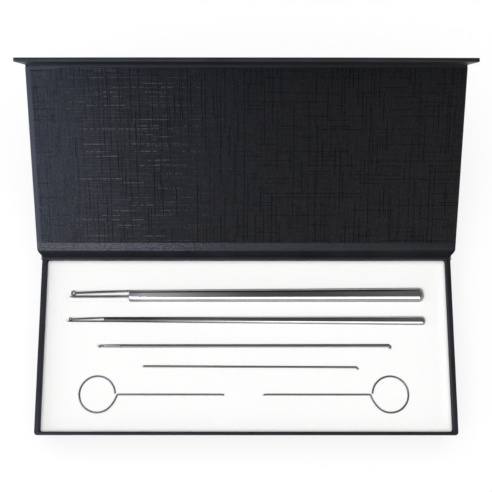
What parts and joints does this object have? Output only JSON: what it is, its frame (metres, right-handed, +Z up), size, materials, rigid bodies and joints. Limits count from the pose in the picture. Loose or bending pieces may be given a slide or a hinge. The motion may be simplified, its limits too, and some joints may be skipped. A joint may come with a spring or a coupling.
{
  "type": "ear wax cleaner",
  "caption": "Set of polished steel ear picks, loops and ring probes in a black book-style gift box with a foam insert, a hinged lid and a magnetic flap.",
  "frame": {"origin": "middle of the tray's footprint, on the underside of the box's base", "axes": "+X to the right along the box's long side, +Y back towards the lid's hinge, +Z up out of the open tray"},
  "size_m": [0.2154, 0.1784, 0.085],
  "materials": {
    "black_cover_paper": "satin",
    "black_lining_paper": "satin",
    "grey_board": "matte",
    "white_foam": "matte",
    "polished_steel": "polished",
    "magnet_nickel": "satin",
    "catch_steel": "satin"
  },
  "bodies": {
    "case": {"base_board": "grey_board", "base_cover": "black_cover_paper", "spine_board": "grey_board", "spine_cover": "black_cover_paper", "tray_floor": "grey_board", "tray_left_wall": "grey_board", "tray_right_wall": "grey_board", "tray_back_wall": "grey_board", "tray_front_wall": "grey_board", "tray_wrap": "black_cover_paper", "catch_plates": "catch_steel", "foam_backing": "white_foam", "foam_pad": "white_foam", "lid_hinge_strip": "black_cover_paper"},
    "lid": {"lid_board": "grey_board", "lid_cover": "black_cover_paper", "lid_lining": "black_lining_paper", "flap_hinge_strip": "black_cover_paper"},
    "flap": {"flap_board": "grey_board", "flap_cover": "black_cover_paper", "flap_lining": "black_cover_paper", "flap_magnets": "magnet_nickel"},
    "large_pick": {"large_pick": "polished_steel"},
    "medium_pick": {"medium_pick": "polished_steel"},
    "small_pick": {"small_pick": "polished_steel"},
    "thin_probe": {"thin_probe": "polished_steel"},
    "left_ring_pick": {"left_ring_pick": "polished_steel"},
    "right_ring_pick": {"right_ring_pick": "polished_steel"}
  },
  "joints": [
    {"name": "lid_hinge", "type": "hinge", "parent": "case", "child": "lid", "pos_m": [0, 0.04802, 0.02218], "axis": [-1, 0, 0], "range_deg": [-153.4, 36.6], "deforming": ["lid_hinge_strip"]},
    {"name": "flap_hinge", "type": "hinge", "parent": "lid", "child": "flap", "pos_m": [0, 0.13364, 0.06319], "axis": [-1, 0, 0], "range_deg": [-7.4, 82.6], "deforming": ["flap_hinge_strip"]},
    {"name": "large_pick_lift", "type": "slide", "parent": "case", "child": "large_pick", "axis": [0, 0, 1], "range_m": [0, 0.03]},
    {"name": "medium_pick_lift", "type": "slide", "parent": "case", "child": "medium_pick", "axis": [0, 0, 1], "range_m": [0, 0.03]},
    {"name": "small_pick_lift", "type": "slide", "parent": "case", "child": "small_pick", "axis": [0, 0, 1], "range_m": [0, 0.03]},
    {"name": "thin_probe_lift", "type": "slide", "parent": "case", "child": "thin_probe", "axis": [0, 0, 1], "range_m": [0, 0.03]},
    {"name": "left_ring_pick_lift", "type": "slide", "parent": "case", "child": "left_ring_pick", "axis": [0, 0, 1], "range_m": [0, 0.03]},
    {"name": "right_ring_pick_lift", "type": "slide", "parent": "case", "child": "right_ring_pick", "axis": [0, 0, 1], "range_m": [0, 0.03]}
  ]
}
